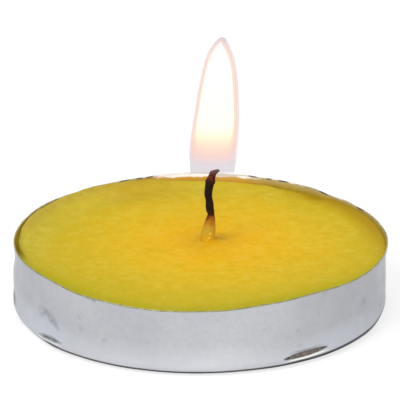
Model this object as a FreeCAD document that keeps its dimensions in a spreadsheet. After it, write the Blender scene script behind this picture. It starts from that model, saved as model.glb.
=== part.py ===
import FreeCAD, Part
import math
import os

import Sketcher
from FreeCAD import Placement, Rotation, Vector

# Tea light candle: a shallow aluminium cup of wax with a lit wick.
# Millimetres, +Z up, origin at the middle of the base.

SIZES = {
    # Cup
    "cup_diameter": 38.0,
    "cup_height": 7.1,
    "foil_thickness": 0.2,
    "base_corner_radius": 1.15,
    "foot_ring_width": 2.6,
    "panel_rise": 0.35,
    "panel_step_width": 0.6,
    "rim_flare": 0.25,
    "rim_flare_height": 0.8,
    # Wax
    "wax_drop": 0.95,
    "wax_edge_bevel": 0.15,
    "cast_gap": 0.02,
    "mound_diameter": 4.8,
    "mound_height": 1.0,
    "mound_curve_radius": 2.1,
    # Wick sustainer
    "tin_diameter": 12.5,
    "tin_thickness": 0.2,
    "neck_height": 3.0,
    "neck_clearance": 0.1,
    "neck_root_bevel": 0.4,
    "crimp_count": 4,
    "crimp_diameter": 0.7,
    # Wick
    "wick_offset_x": 1.05,
    "wick_offset_y": 1.7,
    "wick_diameter": 1.2,
    "wick_stem_rise": 2.35,
    "char_diameter": 0.8,
    "char_taper_height": 0.6,
    "char_straight": 0.3,
    "lean_radius": 12.0,
    "lean_angle": 7.0,
    "lean_run": 1.25,
    "hook_radius": 1.75,
    "hook_angle": 72.0,
    "tip_bevel": 0.2,
    # Flame
    "flame_diameter": 4.84,
    "flame_belly_rise": 7.0,
    "flame_tip_rise": 11.9,
    "flame_tip_width": 0.3,
    "flame_lean": 3.7,
    "flame_gap": 0.02,
}

# Levels and radii that several pieces share, as formulas on the sheet.
WALL = "sizes.cup_diameter / 2"
INNER_WALL = f"({WALL} - sizes.foil_thickness)"
PANEL_TOP = "(sizes.panel_rise + sizes.foil_thickness)"
FOOT_OUTER = f"({WALL} - sizes.base_corner_radius)"
FOOT_INNER = f"({FOOT_OUTER} - sizes.foot_ring_width)"
PANEL_EDGE = f"({FOOT_INNER} - sizes.panel_step_width)"
STEP_SHIFT = "(sizes.foil_thickness * tan(atan(sizes.panel_rise / sizes.panel_step_width) / 2))"
WAX_LEVEL = "(sizes.cup_height - sizes.wax_drop)"
TIN_TOP = f"({PANEL_TOP} + sizes.tin_thickness)"
NECK_TOP = f"({TIN_TOP} + sizes.neck_height)"
TIN_RADIUS = "(sizes.tin_diameter / 2)"
WICK_RADIUS = "(sizes.wick_diameter / 2)"
NECK_BORE = f"({WICK_RADIUS} + sizes.neck_clearance)"
NECK_OUTER = f"({NECK_BORE} + sizes.tin_thickness)"
CHAR_RADIUS = "(sizes.char_diameter / 2)"
STEM_TOP = f"({WAX_LEVEL} + sizes.wick_stem_rise)"
CHAR_START = f"({STEM_TOP} + sizes.char_taper_height)"
FLAME_FOOT = f"({CHAR_START} + sizes.char_straight)"


def make_sheet(doc):
    """Spreadsheet with one named row for each driving size."""
    sheet = doc.addObject("Spreadsheet::Sheet", "sizes")
    for row, (name, size) in enumerate(SIZES.items(), start=1):
        sheet.set(f"A{row}", name)
        sheet.set(f"B{row}", str(size))
        sheet.setAlias(f"B{row}", name)
    doc.recompute()
    return sheet


def make_body(doc, label):
    body = doc.addObject("PartDesign::Body", label)
    body.Label = label
    return body


def origin_feature(body, role):
    """A plane or axis of the body's own origin, found by its role."""
    return next(item for item in body.Origin.OriginFeatures if item.Role == role)


def make_sketch(body, name, plane="XZ_Plane"):
    sketch = body.newObject("Sketcher::SketchObject", name)
    sketch.AttachmentSupport = [(origin_feature(body, plane), "")]
    sketch.MapMode = "FlatFace"
    return sketch


def stand_on_wick_axis(sketch):
    """Move an XZ sketch so that its upright axis is the wick's axis."""
    sketch.setExpression("AttachmentOffset.Base.x", "sizes.wick_offset_x")
    sketch.setExpression("AttachmentOffset.Base.z", "-sizes.wick_offset_y")


def place_on_wick_axis(body):
    """Stand a whole body on the wick's axis."""
    body.setExpression("Placement.Base.x", "sizes.wick_offset_x")
    body.setExpression("Placement.Base.y", "sizes.wick_offset_y")


def bind(sketch, constraint, formula):
    index = sketch.addConstraint(constraint)
    sketch.setExpression(f"Constraints[{index}]", formula)


def fix_point(sketch, edge, end, across, up, values):
    """Hold a point at two formulas; a zero puts it on that axis."""
    if across == "0":
        sketch.addConstraint(Sketcher.Constraint("PointOnObject", edge, end, -2))
    else:
        bind(sketch, Sketcher.Constraint("DistanceX", -1, 1, edge, end, values[0]), across)
    if up == "0":
        sketch.addConstraint(Sketcher.Constraint("PointOnObject", edge, end, -1))
    else:
        bind(sketch, Sketcher.Constraint("DistanceY", -1, 1, edge, end, values[1]), up)


def arc_between(start, end, radius):
    """Short arc, from end round to start, with its centre to the right of start to end."""
    chord = end - start
    normal = Vector(chord.y, -chord.x, 0).normalize()
    centre = (start + end) / 2 + normal * math.sqrt(radius ** 2 - (chord.Length / 2) ** 2)
    angles = [math.atan2(point.y - centre.y, point.x - centre.x) for point in (end, start)]
    if angles[1] < angles[0]:
        angles[1] += 2 * math.pi
    return Part.ArcOfCircle(Part.Circle(centre, Vector(0, 0, 1), radius), *angles)


def draw_outline(sketch, points, hollows=None):
    """Closed outline through (across, up) formulas.

    hollows gives a radius formula for each stretch that curves inward, by its first point's number.
    """
    hollows = hollows or {}
    values = [tuple(float(sketch.evalExpression(formula)) for formula in point) for point in points]
    corners = [Vector(across, up, 0) for across, up in values]
    ends = []
    for number, corner in enumerate(corners):
        following = corners[(number + 1) % len(corners)]
        if number in hollows:
            radius = float(sketch.evalExpression(hollows[number]))
            edge = sketch.addGeometry(arc_between(corner, following, radius))
            bind(sketch, Sketcher.Constraint("Radius", edge, radius), hollows[number])
            ends.append((edge, 2, 1))
        else:
            edge = sketch.addGeometry(Part.LineSegment(corner, following))
            ends.append((edge, 1, 2))
    for number, (edge, start, _) in enumerate(ends):
        previous, _, previous_end = ends[number - 1]
        sketch.addConstraint(Sketcher.Constraint("Coincident", previous, previous_end, edge, start))
        fix_point(sketch, edge, start, *points[number], values[number])


def draw_circle(sketch, diameter):
    """Circle on the sketch's own origin."""
    size = float(sketch.evalExpression(diameter))
    edge = sketch.addGeometry(Part.Circle(Vector(), Vector(0, 0, 1), size / 2))
    sketch.addConstraint(Sketcher.Constraint("Coincident", edge, 3, -1, 1))
    bind(sketch, Sketcher.Constraint("Diameter", edge, size), diameter)


def turn(body, kind, name, sketch):
    """Full revolution or groove of a sketch about its upright axis."""
    feature = body.newObject(f"PartDesign::{kind}", name)
    feature.Profile = sketch
    feature.ReferenceAxis = (sketch, ["V_Axis"])
    feature.Angle = 360.0
    sketch.Visibility = False
    body.Document.recompute()
    return feature


def bevel(body, name, edges, size):
    base = body.Tip
    feature = body.newObject("PartDesign::Chamfer", name)
    feature.Base = (base, edges)
    feature.setExpression("Size", size)
    body.Document.recompute()
    return feature


def make_cup(doc):
    """Foil cup: turned outline, hollowed out through its open top.

    Its base corner follows the corner radius in three flats.
    """
    body = make_body(doc, "cup")
    sketch = make_sketch(body, "cup_outline")
    corner = [
        (
            f"{FOOT_OUTER} + sizes.base_corner_radius * sin({degrees}deg)",
            f"sizes.base_corner_radius * (1 - cos({degrees}deg))",
        )
        for degrees in (30, 60)
    ]
    draw_outline(
        sketch,
        [
            ("0", "sizes.panel_rise"),
            (PANEL_EDGE, "sizes.panel_rise"),
            (FOOT_INNER, "0"),
            (FOOT_OUTER, "0"),
            *corner,
            (WALL, "sizes.base_corner_radius"),
            (WALL, "sizes.cup_height - sizes.rim_flare_height"),
            (f"{WALL} + sizes.rim_flare", "sizes.cup_height"),
            ("0", "sizes.cup_height"),
        ],
    )
    blank = turn(body, "Revolution", "cup_blank", sketch)

    top = max(
        range(len(blank.Shape.Faces)),
        key=lambda number: blank.Shape.Faces[number].CenterOfMass.z,
    )
    foil = body.newObject("PartDesign::Thickness", "cup_foil")
    foil.Base = (blank, [f"Face{top + 1}"])
    foil.setExpression("Value", "sizes.foil_thickness")
    foil.Reversed = True
    foil.Mode = 0
    foil.Join = 1
    doc.recompute()
    return body


def make_wax(doc):
    """Poured wax: fills the cup, has a soft top edge and climbs the wick.

    Its bottom corner has two flats, which stay clear of the cup's three.
    """
    body = make_body(doc, "wax")
    sketch = make_sketch(body, "wax_outline")
    wax_wall = f"({INNER_WALL} - sizes.cast_gap)"
    corner_reach = "(sizes.base_corner_radius * cos(15deg) - sizes.foil_thickness - sizes.cast_gap)"
    draw_outline(
        sketch,
        [
            ("0", PANEL_TOP),
            (f"{PANEL_EDGE} + {STEP_SHIFT}", PANEL_TOP),
            (f"{FOOT_INNER} + {STEP_SHIFT}", "sizes.foil_thickness"),
            (f"{FOOT_OUTER} - sizes.foil_thickness * tan(15deg)", "sizes.foil_thickness"),
            (
                f"{FOOT_OUTER} + {corner_reach} * sin(45deg)",
                f"sizes.base_corner_radius - {corner_reach} * cos(45deg)",
            ),
            (wax_wall, "sizes.base_corner_radius + sizes.foil_thickness * tan(15deg)"),
            (wax_wall, f"{WAX_LEVEL} - sizes.wax_edge_bevel"),
            (f"{wax_wall} - sizes.wax_edge_bevel", WAX_LEVEL),
            ("0", WAX_LEVEL),
        ],
    )
    turn(body, "Revolution", "wax_fill", sketch)

    mound = make_sketch(body, "mound_outline")
    stand_on_wick_axis(mound)
    reach = "(sizes.mound_diameter / 2)"
    draw_outline(
        mound,
        [
            ("0", PANEL_TOP),
            (reach, PANEL_TOP),
            (reach, WAX_LEVEL),
            (f"{WICK_RADIUS} + sizes.cast_gap", f"{WAX_LEVEL} + sizes.mound_height"),
            ("0", f"{WAX_LEVEL} + sizes.mound_height"),
        ],
        hollows={2: "sizes.mound_curve_radius"},
    )
    turn(body, "Revolution", "wax_mound", mound)

    pocket = make_sketch(body, "sustainer_pocket_outline")
    stand_on_wick_axis(pocket)
    neck_wall = f"({NECK_OUTER} + sizes.cast_gap)"
    ceiling = f"({TIN_TOP} + sizes.cast_gap)"
    disc_edge = f"({TIN_RADIUS} + sizes.cast_gap)"
    wick_wall = f"({WICK_RADIUS} + sizes.cast_gap)"
    draw_outline(
        pocket,
        [
            ("0", "0"),
            (disc_edge, "0"),
            (disc_edge, ceiling),
            (f"{neck_wall} + sizes.neck_root_bevel", ceiling),
            (neck_wall, f"{ceiling} + sizes.neck_root_bevel"),
            (neck_wall, f"{NECK_TOP} + sizes.cast_gap"),
            (wick_wall, f"{NECK_TOP} + sizes.cast_gap"),
            (wick_wall, STEM_TOP),
            ("0", STEM_TOP),
        ],
    )
    turn(body, "Groove", "sustainer_pocket", pocket)
    return body


def make_sustainer(doc):
    """Tin disc on the cup's panel, with a neck crimped onto the wick."""
    body = make_body(doc, "wick_sustainer")
    place_on_wick_axis(body)
    sketch = make_sketch(body, "tin_outline")
    draw_outline(
        sketch,
        [
            (NECK_BORE, PANEL_TOP),
            (TIN_RADIUS, PANEL_TOP),
            (TIN_RADIUS, TIN_TOP),
            (f"{NECK_OUTER} + sizes.neck_root_bevel", TIN_TOP),
            (NECK_OUTER, f"{TIN_TOP} + sizes.neck_root_bevel"),
            (NECK_OUTER, NECK_TOP),
            (NECK_BORE, NECK_TOP),
        ],
    )
    turn(body, "Revolution", "tin_disc_and_neck", sketch)

    dimple_outline = make_sketch(body, "crimp_outline")
    dimple_outline.setExpression("AttachmentOffset.Base.y", f"{TIN_TOP} + sizes.neck_height / 2")
    dimple_outline.setExpression("AttachmentOffset.Base.z", WICK_RADIUS)
    draw_circle(dimple_outline, "sizes.crimp_diameter")
    dimple = body.newObject("PartDesign::Pad", "crimp")
    dimple.Profile = dimple_outline
    dimple.setExpression("Length", "sizes.neck_clearance + sizes.tin_thickness / 2")
    doc.recompute()
    ring = body.newObject("PartDesign::PolarPattern", "crimps")
    ring.Originals = [dimple]
    ring.Axis = (origin_feature(body, "Z_Axis"), [""])
    ring.Angle = 360.0
    ring.setExpression("Occurrences", "sizes.crimp_count")
    body.Tip = ring
    doc.recompute()
    return body


def draw_wick_path(sketch, sheet):
    """Open path of the charred wick: upright, a slight lean, then a hook the other way."""
    lean = math.radians(sheet.lean_angle)
    hook = math.radians(sheet.hook_angle)
    foot = Vector(0, float(sketch.evalExpression(CHAR_START)), 0)
    bend = foot + Vector(0, sheet.char_straight, 0)
    lean_centre = bend - Vector(sheet.lean_radius, 0, 0)
    leaning = lean_centre + Vector(math.cos(lean), math.sin(lean), 0) * sheet.lean_radius
    hook_start = leaning + Vector(-math.sin(lean), math.cos(lean), 0) * sheet.lean_run
    hook_centre = hook_start + Vector(math.cos(lean), math.sin(lean), 0) * sheet.hook_radius
    upright = Vector(0, 0, 1)
    straight = sketch.addGeometry(Part.LineSegment(foot, bend))
    lean_arc = sketch.addGeometry(
        Part.ArcOfCircle(Part.Circle(lean_centre, upright, sheet.lean_radius), 0, lean)
    )
    run = sketch.addGeometry(Part.LineSegment(leaning, hook_start))
    hook_arc = sketch.addGeometry(
        Part.ArcOfCircle(
            Part.Circle(hook_centre, upright, sheet.hook_radius),
            math.pi + lean - hook,
            math.pi + lean,
        )
    )
    sketch.addConstraint(Sketcher.Constraint("PointOnObject", straight, 1, -2))
    sketch.addConstraint(Sketcher.Constraint("Vertical", straight))
    sketch.addConstraint(Sketcher.Constraint("Tangent", straight, 2, lean_arc, 1))
    sketch.addConstraint(Sketcher.Constraint("Tangent", lean_arc, 2, run, 1))
    sketch.addConstraint(Sketcher.Constraint("Tangent", run, 2, hook_arc, 2))
    bind(sketch, Sketcher.Constraint("DistanceY", -1, 1, straight, 1, foot.y), CHAR_START)
    bind(sketch, Sketcher.Constraint("Distance", straight, sheet.char_straight), "sizes.char_straight")
    bind(sketch, Sketcher.Constraint("Radius", lean_arc, sheet.lean_radius), "sizes.lean_radius")
    bind(sketch, Sketcher.Constraint("Angle", lean_arc, lean), "sizes.lean_angle * 1deg")
    bind(sketch, Sketcher.Constraint("Distance", run, sheet.lean_run), "sizes.lean_run")
    bind(sketch, Sketcher.Constraint("Radius", hook_arc, sheet.hook_radius), "sizes.hook_radius")
    bind(sketch, Sketcher.Constraint("Angle", hook_arc, hook), "sizes.hook_angle * 1deg")


def sweep_wick(body, sheet, kind, name, diameter):
    """Round section swept along the charred wick's path, added or cut."""
    path = make_sketch(body, f"{name}_path")
    draw_wick_path(path, sheet)
    section = make_sketch(body, f"{name}_section", "XY_Plane")
    section.setExpression("AttachmentOffset.Base.z", CHAR_START)
    draw_circle(section, diameter)
    sweep = body.newObject(f"PartDesign::{kind}", name)
    sweep.Profile = section
    sweep.Spine = path
    path.Visibility = False
    section.Visibility = False
    body.Document.recompute()
    return sweep


def make_wick(doc, sheet):
    """Waxed stem, tapering where it chars, then the charred hook."""
    body = make_body(doc, "wick")
    place_on_wick_axis(body)
    sketch = make_sketch(body, "stem_outline")
    draw_outline(
        sketch,
        [
            ("0", PANEL_TOP),
            (WICK_RADIUS, PANEL_TOP),
            (WICK_RADIUS, STEM_TOP),
            (CHAR_RADIUS, CHAR_START),
            ("0", CHAR_START),
        ],
    )
    turn(body, "Revolution", "stem", sketch)
    sweep_wick(body, sheet, "AdditivePipe", "char", "sizes.char_diameter")
    shape = body.Tip.Shape
    tip = max(range(len(shape.Edges)), key=lambda number: shape.Edges[number].CenterOfMass.x)
    bevel(body, "tip_edge", [f"Edge{tip + 1}"], "sizes.tip_bevel")
    return body


def make_flame(doc, sheet):
    """Leaning envelope, hollow where the wick stands in it.

    It is turned from two half ovals that meet at the belly, each followed in straight runs.
    """
    body = make_body(doc, "flame")
    place_on_wick_axis(body)
    sketch = make_sketch(body, "flame_outline")
    sketch.AttachmentOffset = Placement(Vector(), Rotation(Vector(0, 0, -1), sheet.flame_lean))
    sketch.setExpression("AttachmentOffset.Rotation.Angle", "sizes.flame_lean * 1deg")
    sketch.setExpression("AttachmentOffset.Base.y", FLAME_FOOT)
    belly = "sizes.flame_diameter / 2"
    below = [
        (
            f"{belly} * cos({degrees}deg)",
            f"sizes.flame_belly_rise * (1 - sin({degrees}deg))",
        )
        for degrees in (60, 30)
    ]
    above = [
        (
            f"{belly} * cos({degrees}deg)",
            f"sizes.flame_belly_rise + sizes.flame_tip_rise * sin({degrees}deg)",
        )
        for degrees in (25, 45, 61, 75)
    ]
    top = "sizes.flame_belly_rise + sizes.flame_tip_rise"
    draw_outline(
        sketch,
        [
            ("0", "0"),
            *below,
            (belly, "sizes.flame_belly_rise"),
            *above,
            ("sizes.flame_tip_width / 2", top),
            ("0", top),
        ],
    )
    turn(body, "Revolution", "envelope", sketch)
    sweep_wick(
        body, sheet, "SubtractivePipe", "wick_space", "sizes.char_diameter + 2 * sizes.flame_gap"
    )
    return body


def check(doc, bodies):
    """Stop before anything is written if a feature or a solid is bad."""
    for item in doc.Objects:
        if "Invalid" in item.State or "Error" in item.State:
            raise RuntimeError(f"{item.Label} failed: {item.State}")
    for body in bodies:
        shape = body.Shape
        if shape.isNull() or not shape.isValid() or len(shape.Solids) != 1:
            raise RuntimeError(f"{body.Label} has no single valid solid")


def main():
    doc = FreeCAD.newDocument("tea_light_candle")
    sheet = make_sheet(doc)
    bodies = [
        make_cup(doc),
        make_wax(doc),
        make_sustainer(doc),
        make_wick(doc, sheet),
        make_flame(doc, sheet),
    ]
    doc.recompute()
    check(doc, bodies)
    os.makedirs("parts", exist_ok=True)
    for body in bodies:
        body.Shape.exportStep(f"parts/{body.Label}.step")
        box = body.Shape.BoundBox
        print(f"{body.Label}: {body.Shape.Volume:.2f} mm3, Z {box.ZMin:.3f} to {box.ZMax:.3f}")


main()
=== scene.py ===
# Tea light candle: the finish of its foil cup, wax, wick and flame.
# Lengths are in millimetres until a mesh is made, and then in metres.

import bisect
import math

import bpy
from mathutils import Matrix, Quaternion, Vector, noise


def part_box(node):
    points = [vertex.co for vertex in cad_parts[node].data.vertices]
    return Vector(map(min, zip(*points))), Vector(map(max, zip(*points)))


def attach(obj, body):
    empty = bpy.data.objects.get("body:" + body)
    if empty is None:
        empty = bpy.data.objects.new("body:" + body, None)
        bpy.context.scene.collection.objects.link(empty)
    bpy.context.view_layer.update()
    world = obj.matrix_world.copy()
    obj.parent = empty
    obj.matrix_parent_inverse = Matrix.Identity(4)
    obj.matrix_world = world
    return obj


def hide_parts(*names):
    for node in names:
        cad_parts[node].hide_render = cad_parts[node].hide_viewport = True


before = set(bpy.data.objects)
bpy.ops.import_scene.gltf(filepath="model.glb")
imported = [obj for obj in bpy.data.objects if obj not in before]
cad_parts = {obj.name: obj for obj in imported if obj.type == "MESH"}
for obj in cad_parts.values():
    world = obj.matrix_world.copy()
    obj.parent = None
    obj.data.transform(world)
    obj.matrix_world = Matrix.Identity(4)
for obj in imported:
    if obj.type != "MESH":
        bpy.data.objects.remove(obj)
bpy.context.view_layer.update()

MM = 0.001


def box_mm(node):
    """Lowest and highest corners of a node, in millimetres."""
    low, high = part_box(node)
    return low / MM, high / MM


# Driving sizes: the overall ones come from the frame, the rest are the cup's own.
WICK_LOW, WICK_HIGH = box_mm("wick")
TIN_LOW, TIN_HIGH = box_mm("wick_sustainer")
FLAME_LOW, FLAME_HIGH = box_mm("flame")

FOIL = 0.2
CUP_HEIGHT = box_mm("cup")[1].z
CUP_RADIUS = 19.0
BASE_CORNER = 1.15
FOOT_RING = 2.6
PANEL_RISE = 0.35
PANEL_STEP = 0.6
WAX_DROP = 0.95
WAX_LEVEL = CUP_HEIGHT - WAX_DROP
CAST_GAP = 0.02
FOOT_OUTER = CUP_RADIUS - BASE_CORNER
FOOT_INNER = FOOT_OUTER - FOOT_RING
PANEL_EDGE = FOOT_INNER - PANEL_STEP
PANEL_TOP = PANEL_RISE + FOIL
# How far the inside of the sloping step lies from its outside, measured level
STEP_SHIFT = FOIL * math.tan(math.atan2(PANEL_RISE, PANEL_STEP) / 2)
TIN_THICKNESS = 0.2
NECK_WALL = 0.3
WICK_X = (TIN_LOW.x + TIN_HIGH.x) / 2
WICK_Y = (TIN_LOW.y + TIN_HIGH.y) / 2
WICK_FOOT = WICK_LOW.z
WICK_RADIUS = 0.6
AROUND = 360


def srgb(red, green, blue):
    """Linear colour, with alpha, of an sRGB colour written as 0 to 255."""
    def linear(level):
        level /= 255
        return level / 12.92 if level <= 0.04045 else ((level + 0.055) / 1.055) ** 2.4
    return (linear(red), linear(green), linear(blue), 1.0)


def smooth(low, high, value):
    """0 below low, 1 above high, and an even curve between them."""
    share = min(1.0, max(0.0, (value - low) / (high - low)))
    return share * share * (3 - 2 * share)


def mix(start, end, share):
    return start + (end - start) * share


# Meshes

def make_piece(name, points, faces, material, crease_angle=40.0):
    """Object with smooth faces and sharp folds, from points in millimetres."""
    mesh = bpy.data.meshes.new(name)
    mesh.from_pydata([Vector(point) * MM for point in points], [], faces)
    mesh.validate()
    mesh.shade_smooth()
    mesh.set_sharp_from_angle(angle=math.radians(crease_angle))
    mesh.materials.append(material)
    piece = bpy.data.objects.new(name, mesh)
    bpy.context.scene.collection.objects.link(piece)
    return piece


def skin_rings(rings, joined=False, low_pole=None, high_pole=None):
    """Points and faces of a surface through equal rings, closed by poles or onto itself."""
    count = len(rings[0])
    points = [point for ring in rings for point in ring]
    spans = len(rings) if joined else len(rings) - 1
    faces = []
    for span in range(spans):
        here = span * count
        there = (span + 1) % len(rings) * count
        for step in range(count):
            after = (step + 1) % count
            faces.append((here + step, here + after, there + after, there + step))
    if low_pole is not None:
        pole = len(points)
        points.append(low_pole)
        faces += [(pole, (step + 1) % count, step) for step in range(count)]
    if high_pole is not None:
        pole = len(points)
        points.append(high_pole)
        last = (len(rings) - 1) * count
        faces += [(pole, last + step, last + (step + 1) % count) for step in range(count)]
    return points, faces


def line_points(start, end, steps):
    """Points from start up to, and not including, end."""
    return [
        tuple(mix(a, b, step / steps) for a, b in zip(start, end)) for step in range(steps)
    ]


def arc_points(centre, radius, start, end, steps):
    """Points along an arc between two angles in degrees, without its last one."""
    turns = [math.radians(mix(start, end, step / steps)) for step in range(steps)]
    return [
        (centre[0] + radius * math.cos(turn), centre[1] + radius * math.sin(turn)) for turn in turns
    ]


# Camera, at the photograph's viewing angle

PHOTO_SIDE = 400
SENSOR = 36.0
VIEW_SCALE = 9.731
VIEW_DISTANCE = 350.0
VIEW_ELEVATION = 22.07
VIEW_ROLL = -0.27
TARGET = Vector((0.0, 0.0, 3.5))
TARGET_PIXEL = (200.4, 271.1)


def make_camera():
    data = bpy.data.cameras.new("camera")
    data.sensor_width = SENSOR
    data.lens = SENSOR * VIEW_SCALE * VIEW_DISTANCE / PHOTO_SIDE
    data.clip_start = 0.01
    data.clip_end = 20.0
    camera = bpy.data.objects.new("camera", data)
    bpy.context.scene.collection.objects.link(camera)
    bpy.context.scene.camera = camera

    rise = math.radians(VIEW_ELEVATION)
    place = TARGET + Vector((0, -math.cos(rise), math.sin(rise))) * VIEW_DISTANCE
    roll = Quaternion((0, 0, 1), math.radians(VIEW_ROLL))
    turn = (TARGET - place).to_track_quat("-Z", "Y") @ roll
    across = (PHOTO_SIDE / 2 - TARGET_PIXEL[0]) / VIEW_SCALE
    up = (TARGET_PIXEL[1] - PHOTO_SIDE / 2) / VIEW_SCALE
    aim = TARGET + turn @ Vector((across, up, 0))
    camera.location = place * MM
    camera.rotation_mode = "QUATERNION"
    camera.rotation_quaternion = (aim - place).to_track_quat("-Z", "Y") @ roll


# Materials

def new_material(name):
    """Material, its node tree and its main shader."""
    material = bpy.data.materials.new(name)
    material.use_nodes = True
    tree = material.node_tree
    return material, tree, tree.nodes["Principled BSDF"]


def add_node(tree, kind, inputs=None, **settings):
    node = tree.nodes.new(kind)
    for key, value in settings.items():
        setattr(node, key, value)
    for key, value in (inputs or {}).items():
        if isinstance(value, bpy.types.NodeSocket):
            tree.links.new(value, node.inputs[key])
        else:
            node.inputs[key].default_value = value
    return node


def object_place(tree):
    """Place on the part, in metres."""
    return add_node(tree, "ShaderNodeTexCoord").outputs["Object"]


def split(tree, vector):
    return add_node(tree, "ShaderNodeSeparateXYZ", {"Vector": vector}).outputs


def grain(tree, place, size, detail=3.0, rough=0.5, stretch=None):
    """Noise from 0 to 1 whose lumps are about size millimetres across."""
    if stretch is not None:
        mapping = add_node(tree, "ShaderNodeMapping", {"Vector": place, "Scale": stretch})
        place = mapping.outputs["Vector"]
    inputs = {"Vector": place, "Scale": 1 / (size * MM), "Detail": detail, "Roughness": rough}
    return add_node(tree, "ShaderNodeTexNoise", inputs).outputs["Fac"]


def ramp(tree, value, stops):
    """Colour by value, through (place, colour) stops."""
    node = add_node(tree, "ShaderNodeValToRGB", {"Fac": value})
    elements = node.color_ramp.elements
    while len(elements) < len(stops):
        elements.new(0.5)
    for element, (place, colour) in zip(elements, stops):
        element.position = place
        element.color = colour
    return node.outputs["Color"]


def spread(tree, value, low, high, to_low=0.0, to_high=1.0):
    """Value taken from one range to another, and held there."""
    inputs = {
        "Value": value, "From Min": low, "From Max": high, "To Min": to_low, "To Max": to_high
    }
    return add_node(tree, "ShaderNodeMapRange", inputs, clamp=True).outputs["Result"]


def maths(tree, operation, first, second=0.0):
    return add_node(tree, "ShaderNodeMath", {0: first, 1: second}, operation=operation).outputs[0]


def blend_colour(tree, share, first, second):
    node = add_node(tree, "ShaderNodeMix", data_type="RGBA", clamp_factor=True)
    sockets = (node.inputs[0], node.inputs[6], node.inputs[7])
    for socket, value in zip(sockets, (share, first, second)):
        if isinstance(value, bpy.types.NodeSocket):
            tree.links.new(value, socket)
        else:
            socket.default_value = value
    return node.outputs[2]


def bump(tree, height, depth, strength=1.0):
    """Normal from a height of 0 to 1, whose full swing is depth millimetres."""
    inputs = {"Height": height, "Distance": depth * MM, "Strength": strength}
    return add_node(tree, "ShaderNodeBump", inputs).outputs["Normal"]


def axis_distance(tree, place):
    """Distance from the cup's axis, in metres."""
    flat = add_node(
        tree, "ShaderNodeVectorMath", {0: place, 1: (1.0, 1.0, 0.0)}, operation="MULTIPLY"
    ).outputs[0]
    return add_node(tree, "ShaderNodeVectorMath", {0: flat}, operation="LENGTH").outputs["Value"]


def wall_place(tree, place):
    """Degrees round the wall, 0 at the front and 90 at the right, and height in millimetres."""
    parts = split(tree, place)
    turn = maths(tree, "ARCTAN2", parts["X"], maths(tree, "MULTIPLY", parts["Y"], -1.0))
    return maths(tree, "DEGREES", turn), maths(tree, "DIVIDE", parts["Z"], MM)


def wall_mark(tree, angle, height, middle, reach, slope=0.0, pointed=False, soft=0.4):
    """1 inside a mark on the wall, falling to 0 at its reach of (degrees, millimetres)."""
    across = maths(tree, "SUBTRACT", angle, middle[0])
    shift = maths(tree, "MULTIPLY", across, slope)
    across = maths(tree, "DIVIDE", across, reach[0])
    across = maths(tree, "MULTIPLY", across, across)
    along = maths(tree, "SUBTRACT", maths(tree, "SUBTRACT", height, middle[1]), shift)
    along = maths(tree, "DIVIDE", along, reach[1])
    if pointed:
        along = maths(tree, "ABSOLUTE", along)
    else:
        along = maths(tree, "MULTIPLY", along, along)
    return spread(tree, maths(tree, "ADD", across, along), 1.0 - soft, 1.0, 1.0, 0.0)


# Marks on the foil: (degrees, height), (reach in degrees, reach in height), slope, strength
SMUDGES = (
    ((-55.6, 3.70), (3.6, 0.62), 0.02, 0.52),
    ((-51.6, 3.30), (3.3, 0.70), -0.12, 0.60),
    ((-49.4, 2.62), (2.0, 0.42), -0.12, 0.42),
    ((-56.8, 3.10), (1.6, 0.40), 0.0, 0.30),
    ((-39.0, 4.60), (1.0, 0.30), 0.0, 0.22),
    ((-38.4, 3.45), (1.3, 0.40), 0.0, 0.20),
    ((-29.8, 2.90), (1.4, 0.30), 0.0, 0.28),
    ((-24.3, 4.35), (1.6, 0.35), 0.0, 0.14),
    ((30.3, 3.78), (0.9, 0.24), 0.0, 0.55),
    ((19.3, 4.50), (1.0, 0.25), 0.0, 0.22),
    ((31.0, 2.17), (1.5, 0.30), 0.0, 0.22),
    ((59.2, 4.05), (2.4, 0.60), 0.0, 0.34),
    ((-35.4, 6.95), (1.5, 0.20), 0.0, 0.45),
    ((-33.5, 6.92), (1.2, 0.30), 0.0, 0.75),
    ((-21.6, 6.86), (1.2, 0.22), 0.0, 0.50),
    ((40.3, 7.00), (1.2, 0.22), 0.0, 0.30),
    ((112.0, 2.60), (3.5, 0.50), 0.02, 0.30),
    ((-128.0, 4.40), (3.0, 0.45), 0.0, 0.26),
    ((150.0, 3.20), (2.0, 0.40), 0.0, 0.34),
)
# Dents and creases, with painted shade on the dark ones and painted highlights on the bright ones:
# (degrees, height), (reach in degrees, reach in height), slope
DARK_DENT = ((33.2, 1.12), (8.0, 0.27), 0.010)
DENT_ENDS = (((26.5, 1.05), (1.5, 0.17), 0.010), ((40.1, 1.20), (1.5, 0.14), 0.010))
BRIGHT_DENT = ((33.6, 0.81), (9.4, 0.13), 0.012)
DARK_CREASE = ((-51.9, 1.09), (6.6, 0.42), 0.008)
BRIGHT_CREASE = ((-53.6, 0.74), (8.0, 0.13), 0.010)
# Lighter, bluer patches low on the wall, a painted reflection: (degrees, height), reach, strength
LIGHT_PATCHES = (((-60.0, 1.8), (24.0, 1.9), 0.22), ((48.0, 1.4), (24.0, 1.9), 0.24))


def shade_foil(tree, place):
    """Colour of the rolled foil before anything has marked it."""
    rolled = grain(tree, place, 9.0, 2.0)
    clean = ramp(
        tree,
        rolled,
        [(0.3, srgb(184, 186, 191)), (0.5, srgb(191, 192, 196)), (0.75, srgb(199, 200, 203))],
    )
    fine = grain(tree, place, 0.55, 4.0, 0.7)
    return blend_colour(
        tree, spread(tree, fine, 0.46, 0.8, 0.0, 0.4), clean, srgb(162, 164, 172)
    )


def finish_foil(tree, shader, place, colour):
    tree.links.new(colour, shader.inputs["Base Color"])
    shader.inputs["Metallic"].default_value = 1.0
    roughness = spread(tree, grain(tree, place, 1.6, 3.0), 0.3, 0.7, 0.36, 0.48)
    tree.links.new(roughness, shader.inputs["Roughness"])
    tree.links.new(bump(tree, grain(tree, place, 0.35, 4.0, 0.6), 0.012), shader.inputs["Normal"])


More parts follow.
